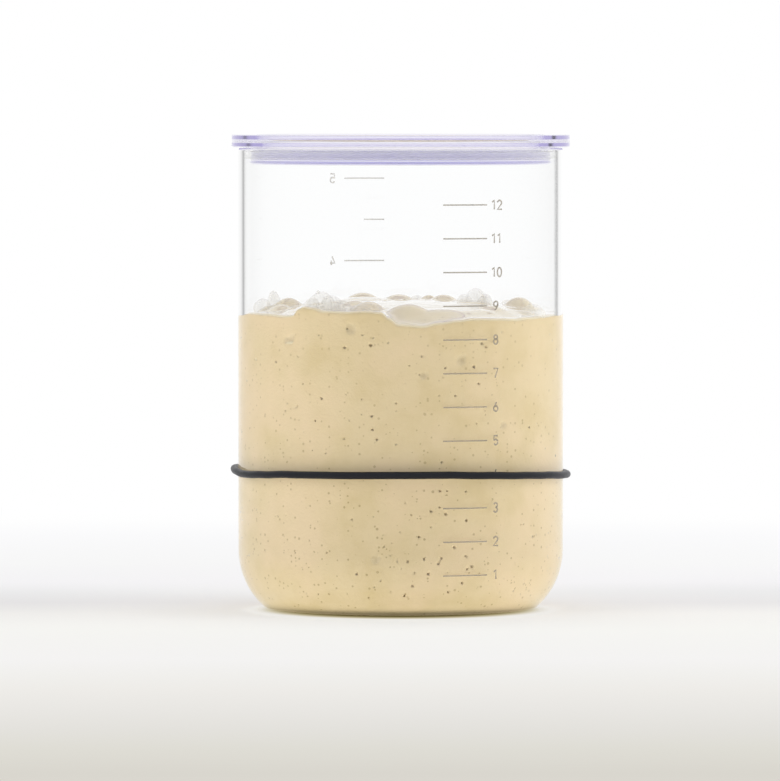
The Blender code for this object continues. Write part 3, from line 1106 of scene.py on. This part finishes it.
class STARTERJAR_OT_lid(bpy.types.Operator):
    """Turn the clear lid: flange, gasket seat, plug and recess"""

    bl_idname = "starter_jar.lid"
    bl_label = "Lid"

    def execute(self, context):
        look = context.scene.starter_lid
        glass = context.scene.starter_glass
        plug_r = glass.outer_radius - glass.wall - PLUG_GAP
        seat_r = plug_r - SEAT_DEPTH
        recess_r = plug_r - look.wall
        top = lid_high.z
        under = top - look.flange
        plug_z = lid_low.z
        seat_z = plug_z + SEAT_HEIGHT
        floor_z = plug_z + look.floor
        flange_r = lid_high.x
        profile = [(recess_r * 0.9 * i / 6, floor_z) for i in range(6)]
        inner = top - look.bead
        bead_r = recess_r + look.lip + 0.0004
        # Corner, rounding, the angles in degrees that it turns between, and its steps
        for r, z, radius, start, end, steps in (
                (recess_r, floor_z, 0.001, -90, 0, 8),
                (recess_r, inner, look.lip, 180, 90, 16),
                (bead_r, inner, 0.0001, -90, 0, 3),
                (bead_r, top, 0.0001, 180, 90, 3),
                (flange_r, top, 0.00035, 90, 0, 8),
                (flange_r, under, 0.0004, 0, -90, 8),
                (seat_r, under, 0.0002, 90, 180, 3),
                (seat_r, seat_z, 0.0002, 180, 270, 3),
                (plug_r, seat_z, 0.0002, 90, 0, 3),
                (plug_r, plug_z, 0.0006, 0, -90, 8)):
            profile += rounded(r, z, radius, math.radians(start), math.radians(end), steps)
        profile += [(plug_r * 0.9 * (1 - i / 6), plug_z) for i in range(7)]
        shape = spun(supported(profile), 256)
        finish = plastic_finish(look, flange_r, seat_r)
        dressed("clear_lid", shape, "lid", [finish], ("lid",), 50.0)
        return {"FINISHED"}


class STARTERJAR_OT_gasket(bpy.types.Operator):
    """Turn the silicone gasket with its two lips"""

    bl_idname = "starter_jar.gasket"
    bl_label = "Gasket"

    def execute(self, context):
        glass = context.scene.starter_glass
        bore_r = glass.outer_radius - glass.wall
        inner_r = bore_r - PLUG_GAP - SEAT_DEPTH + HUG_GAP
        band_r = inner_r + BAND_WALL
        tip_r = bore_r - LIP_GAP
        low = lid_low.z + SEAT_HEIGHT + PIECE_GAP
        high = lid_high.z - context.scene.starter_lid.flange - PIECE_GAP
        # Each lip slopes down to its tip, thinner there than at its root
        slope = -0.00085
        profile = [(inner_r, high), (band_r, high)]
        for root in (high - 0.0001, low + 0.00125):
            for share in (0.0, 0.25, 0.5, 0.75, 1.0):
                profile.append((band_r + (tip_r - band_r) * share, root + slope * share * share))
            profile.append((tip_r, root + slope - 0.00025))
            for share in (0.75, 0.5, 0.25, 0.0):
                sag = root - 0.0008 + (slope + 0.00055) * share * share
                profile.append((band_r + (tip_r - band_r) * share, sag))
        profile += [(band_r, low), (inner_r, low)]
        shape = spun(profile, 192, closed=True)
        finish = silicone_finish()
        dressed("silicone_gasket", shape, "lid", [finish], ("lid_gasket",))
        return {"FINISHED"}


class STARTERJAR_OT_band(bpy.types.Operator):
    """Stretch the rubber band round the jar"""

    bl_idname = "starter_jar.band"
    bl_label = "Level band"

    def execute(self, context):
        look = context.scene.starter_band
        glass = context.scene.starter_glass
        tall = look.section / 2
        inner_r = glass.outer_radius + 0.00002
        outer_r = band_high.x
        centre_r = (inner_r + outer_r) / 2
        wide = (outer_r - inner_r) / 2
        profile = []
        for step in range(20):
            turn = 2 * math.pi * step / 20
            side = math.cos(turn)
            if side < -0.7:
                side = -0.85 + (side + 0.7) * 0.5
            profile.append((centre_r + wide * side, tall * math.sin(turn)))
        shape = spun(profile, 256, closed=True)
        for point in shape.verts:
            bearing = math.degrees(math.atan2(point.co.y, point.co.x)) % 360
            point.co.z += from_table(BAND_LINE, bearing) * MM
        finish = rubber_finish(look)
        dressed("rubber_band", shape, "band", [finish], ("level_band",))
        return {"FINISHED"}


# Stage

# Colour of the floor by its depth behind the jar's axis, in metres: painted shade, in a grey band
# just behind the axis and growing towards the front, and white far behind
FLOOR_TONES_AND_SHADE = (
    (-1.30, (255, 255, 255)), (-0.90, (236, 235, 231)), (-0.572, (217, 214, 206)),
    (-0.505, (223, 221, 213)), (-0.448, (229, 227, 222)), (-0.387, (236, 234, 230)),
    (-0.322, (243, 241, 237)), (-0.271, (247, 246, 243)), (-0.216, (251, 250, 249)),
    (-0.10, (252, 252, 249)), (-0.03, (249, 248, 246)), (0.02, (240, 239, 240)),
    (0.07, (244, 244, 245)), (0.12, (251, 250, 252)), (0.22, (253, 253, 253)),
    (0.38, (253, 253, 254)), (0.48, (255, 255, 255)),
)

# Painted contact shadow and painted light on the floor under and right beside the foot, by distance
# in metres from a point a little in front of the jar's axis: a pale disc for light through the
# glass base, then a dark olive ring of shadow that fades into the floor
CONTACT_SHADOW_AND_LIGHT = (
    (0.0, (236, 226, 200)), (0.0215, (236, 226, 200)), (0.0225, (44, 38, 14)),
    (0.0305, (82, 72, 34)), (0.0345, (142, 130, 90)), (0.0378, (184, 172, 140)),
    (0.0398, (208, 200, 176)), (0.0420, (228, 224, 214)), (0.0455, (241, 239, 235)),
    (0.06, (241, 239, 235)),
)

# Moves that point onto the axis, so that the painted contact shadow reaches further out in front
CONTACT_SHADOW_SHIFT = (0.0, 0.012, 0.0)

# Share of the floor's light by the distance from the jar's axis in metres: little under the foot
FLOOR_LIGHT = ((0.0, 0.14), (0.0370, 0.14), (0.0415, 0.74), (0.0520, 0.80), (0.0900, 1.0))

# Brightness of the studio as outer surfaces mirror it, by the angle from straight behind. Minus
# is to the left.
SIDES = (
    (-180, 0.97), (-105, 0.96), (-82, 0.86), (-66, 0.79), (-48, 0.72), (-34, 0.78), (-18, 1.0),
    (18, 1.0), (30, 0.86), (42, 0.82), (50, 0.92), (62, 1.0), (180, 0.97),
)

# The same for light that has been mirrored inside the glass
SURROUND = (
    (-180, 0.97), (-95, 0.95), (-67, 0.95), (-64, 0.80), (-62.3, 0.48), (-61.2, 0.38),
    (-59.6, 0.40), (-58.3, 0.745), (-56.3, 0.85), (-53.8, 0.88), (-50, 0.92), (-38, 1.0),
    (52, 1.0), (59.5, 0.97), (61.5, 0.70), (63, 0.15), (65.5, 0.15), (67.5, 0.90), (76, 1.0),
    (180, 0.97),
)


def floor_finish(bounce):
    """A pale floor that glows in its tone where the camera sees it, with painted shade in that tone
    and a painted contact shadow and painted light under the foot, and a share of the object's real
    soft shadow.

    Light that has been mirrored once passes through it far from the jar, to meet the studio.
    """
    made, tree, shader, spot = new_material("pale_floor")
    depth = add_node(tree, "SeparateXYZ", (-3, 0), spot).outputs["Y"]
    # The floor's tone, painted shade included
    tones = toned(tree, (-1, 0), depth, FLOOR_TONES_AND_SHADE)
    fill(tree, shader, Base_Color=tones, Roughness=0.9, Specular_IOR_Level=0.0)
    away = reach_of(tree, (1, 2), spot)
    # Painted contact shadow and painted light under the foot, mixed into the floor's tone near the
    # jar
    shifted = add_node(tree, "VectorMath", (-2, -6), spot, CONTACT_SHADOW_SHIFT, operation="ADD")
    beside = reach_of(tree, (-1, -6), shifted.outputs["Vector"])
    contact = toned(tree, (1, -6), beside, CONTACT_SHADOW_AND_LIGHT)
    clear = ranged(tree, (1, -4), beside, (0.0430, 0.0500))
    ground = mixed(tree, (2, -6), clear, contact, tones)
    glow = add_node(tree, "Emission", (4, -4), ground).outputs["Emission"]
    lit = ranged(tree, (3, -4), away, (0.12, 0.55), (0.45, 0.0), "SMOOTHSTEP")
    shaded = reckoned(tree, (4, -6), "MULTIPLY", lit, clear)
    seen = mixed_shader(tree, (6, -2), shaded, glow, shader.outputs["BSDF"])
    shares = toned(tree, (3, 2), away, FLOOR_LIGHT)
    strength = reckoned(tree, (4, 2), "MULTIPLY", shares, bounce)
    plain = add_node(tree, "Emission", (5, 2), (1.0, 0.965, 0.83), strength).outputs["Emission"]
    path = add_node(tree, "LightPath", (4, 4)).outputs
    choice = mixed_shader(tree, (7, 0), viewed(tree, (5, 4), path), plain, seen)
    once = reckoned(tree, (6, 6), "MINIMUM", path["Glossy Depth"], 1.0)
    beyond = ranged(tree, (6, 7), away, (0.9, 1.2))
    open_floor = reckoned(tree, (7, 6), "MULTIPLY", once, beyond)
    past = add_node(tree, "BsdfTransparent", (7, 3)).outputs["BSDF"]
    ending = mixed_shader(tree, (8, 2), open_floor, choice, past)
    output = tree.nodes["output"]
    output.location = (1800, 320)
    fill(tree, output, Surface=ending)
    return made


def set_world(look):
    """White for the camera and through glass, a studio in reflections, and softer light.

    Light that was mirrored inside the glass leaves it through one surface, so it sees the studio
    that stands for the inside. A crossing of the floor on the way down doesn't count.
    """
    world = bpy.data.worlds.new("studio")
    bpy.context.scene.world = world
    world.use_nodes = True
    tree = world.node_tree
    tree.nodes.clear()
    path = add_node(tree, "LightPath", (0, 0)).outputs
    place = add_node(tree, "TexCoord", (-4, 2)).outputs["Generated"]
    across, ahead, up = add_node(tree, "SeparateXYZ", (-3, 2), place).outputs
    turn = reckoned(tree, (-3, 3), "ARCTAN2", across, ahead)
    half_turns = (-math.pi, math.pi)
    inside = toned(tree, (-1, 2), turn, SURROUND, half_turns)
    outside = toned(tree, (-1, 1), turn, SIDES, half_turns)
    down = reckoned(tree, (-3, -1), "LESS_THAN", up, -0.002)
    crossed = reckoned(tree, (-2, -1), "SUBTRACT", path["Transparent Depth"], down)
    through = reckoned(tree, (-1, -1), "COMPARE", crossed, 1.0, 0.5)
    backdrop = mixed(tree, (0, 1), through, outside, inside, "FLOAT")
    overhead = ranged(tree, (-1, 4), up, (0.30, 0.65), ease="SMOOTHSTEP")
    around = reckoned(tree, (0, 2), "MAXIMUM", backdrop, overhead)
    once = reckoned(tree, (1, 1), "MINIMUM", path["Glossy Depth"], 1.0)
    mirror = mixed(tree, (2, 1), once, 1.0, around, "FLOAT")
    strength = mixed(tree, (3, 0), viewed(tree, (1, -1), path), look.ambient, mirror, "FLOAT")
    sky = add_node(tree, "Background", (4, 0), (1.0, 1.0, 1.0), strength)
    add_node(tree, "OutputWorld", (5, 0), sky.outputs["Background"])


# How far the camera looks down, in degrees
CAMERA_TILT = 2.196


def add_softbox(name, power, size, place, aim):
    """A rectangular soft light at a place, turned towards a point."""
    lamp = bpy.data.lights.new(name, "AREA")
    lamp.shape = "RECTANGLE"
    lamp.size, lamp.size_y = size
    lamp.energy = power
    holder = bpy.data.objects.new(name, lamp)
    holder.location = place
    holder.rotation_euler = (Vector(aim) - Vector(place)).to_track_quat("-Z", "Y").to_euler()
    holder.visible_glossy = False
    holder.visible_transmission = False
    bpy.context.scene.collection.objects.link(holder)


class STARTERJAR_OT_stage(bpy.types.Operator):
    """Set up the floor, the light and the camera"""

    bl_idname = "starter_jar.stage"
    bl_label = "Stage"

    def execute(self, context):
        look = context.scene.starter_stage
        context.scene.view_settings.view_transform = "Standard"
        set_world(look)
        add_softbox("right_light", look.key, (0.7, 1.0), (1.17, -0.10, 0.43), (0.0, 0.0, 0.08))
        add_softbox("left_light", look.fill, (0.6, 1.0), (-1.05, -0.54, 0.43), (0.0, 0.0, 0.08))
        add_softbox("top_light", look.top, (1.4, 1.2), (0.0, 0.35, 1.5), (0.0, 0.0, 0.05))
        ground = bmesh.new()
        bmesh.ops.create_grid(ground, x_segments=8, y_segments=8, size=60.0)
        mesh = bpy.data.meshes.new("floor")
        ground.to_mesh(mesh)
        ground.free()
        mesh.materials.append(floor_finish(look.bounce))
        floor = bpy.data.objects.new("floor", mesh)
        context.scene.collection.objects.link(floor)
        lens = bpy.data.cameras.new("camera")
        lens.sensor_fit = "HORIZONTAL"
        lens.sensor_width = 36.0
        lens.lens = 352.5
        lens.clip_start = 0.1
        lens.clip_end = 60.0
        camera = bpy.data.objects.new("camera", lens)
        camera.location = (-0.00322, -2.309, 0.1541)
        camera.rotation_euler = (math.radians(90.0 - CAMERA_TILT), 0.0, 0.0)
        context.scene.collection.objects.link(camera)
        context.scene.camera = camera
        return {"FINISHED"}


class STARTERJAR_PT_panel(bpy.types.Panel):
    """Lists the jar's pieces and their sizes"""

    bl_idname = "STARTERJAR_PT_panel"
    bl_label = "Starter jar"
    bl_space_type = "VIEW_3D"
    bl_region_type = "UI"
    bl_category = "Starter jar"

    def draw(self, context):
        for name, group, operator in PANEL_ROWS:
            box = self.layout.box()
            box.operator(operator)
            if group:
                for setting in group.__annotations__:
                    box.prop(getattr(context.scene, name), setting)


# Name of the settings, their group and the operator that uses them
PANEL_ROWS = (
    ("starter_glass", GlassSizes, "starter_jar.glass_jar"),
    ("starter_scales", ScaleSizes, "starter_jar.scales"),
    ("starter_look", StarterLook, "starter_jar.starter"),
    (None, None, "starter_jar.bubbles"),
    ("starter_lid", LidLook, "starter_jar.lid"),
    (None, None, "starter_jar.gasket"),
    ("starter_band", BandLook, "starter_jar.band"),
    ("starter_stage", StageLook, "starter_jar.stage"),
)

GROUPS = {name: group for name, group, _ in PANEL_ROWS if group}

CLASSES = (
    STARTERJAR_OT_glass_jar, STARTERJAR_OT_scales, STARTERJAR_OT_starter,
    STARTERJAR_OT_bubbles, STARTERJAR_OT_lid, STARTERJAR_OT_gasket, STARTERJAR_OT_band,
    STARTERJAR_OT_stage, STARTERJAR_PT_panel,
)


def register():
    """Registers the property groups, the operators and the panel."""
    for name, group in GROUPS.items():
        bpy.utils.register_class(group)
        setattr(bpy.types.Scene, name, PointerProperty(type=group))
    for made in CLASSES:
        bpy.utils.register_class(made)


def unregister():
    """Takes them out again."""
    for made in reversed(CLASSES):
        bpy.utils.unregister_class(made)
    for name, group in GROUPS.items():
        delattr(bpy.types.Scene, name)
        bpy.utils.unregister_class(group)


def main():
    """Builds every piece and the stage."""
    register()
    for build_group in (grain_group, pore_group, crumb_group):
        build_group()
    bpy.ops.starter_jar.stage()
    bpy.ops.starter_jar.glass_jar()
    bpy.ops.starter_jar.scales()
    bpy.ops.starter_jar.starter()
    bpy.ops.starter_jar.bubbles()
    bpy.ops.starter_jar.lid()
    bpy.ops.starter_jar.gasket()
    bpy.ops.starter_jar.band()


if __name__ == "__main__":
    main()
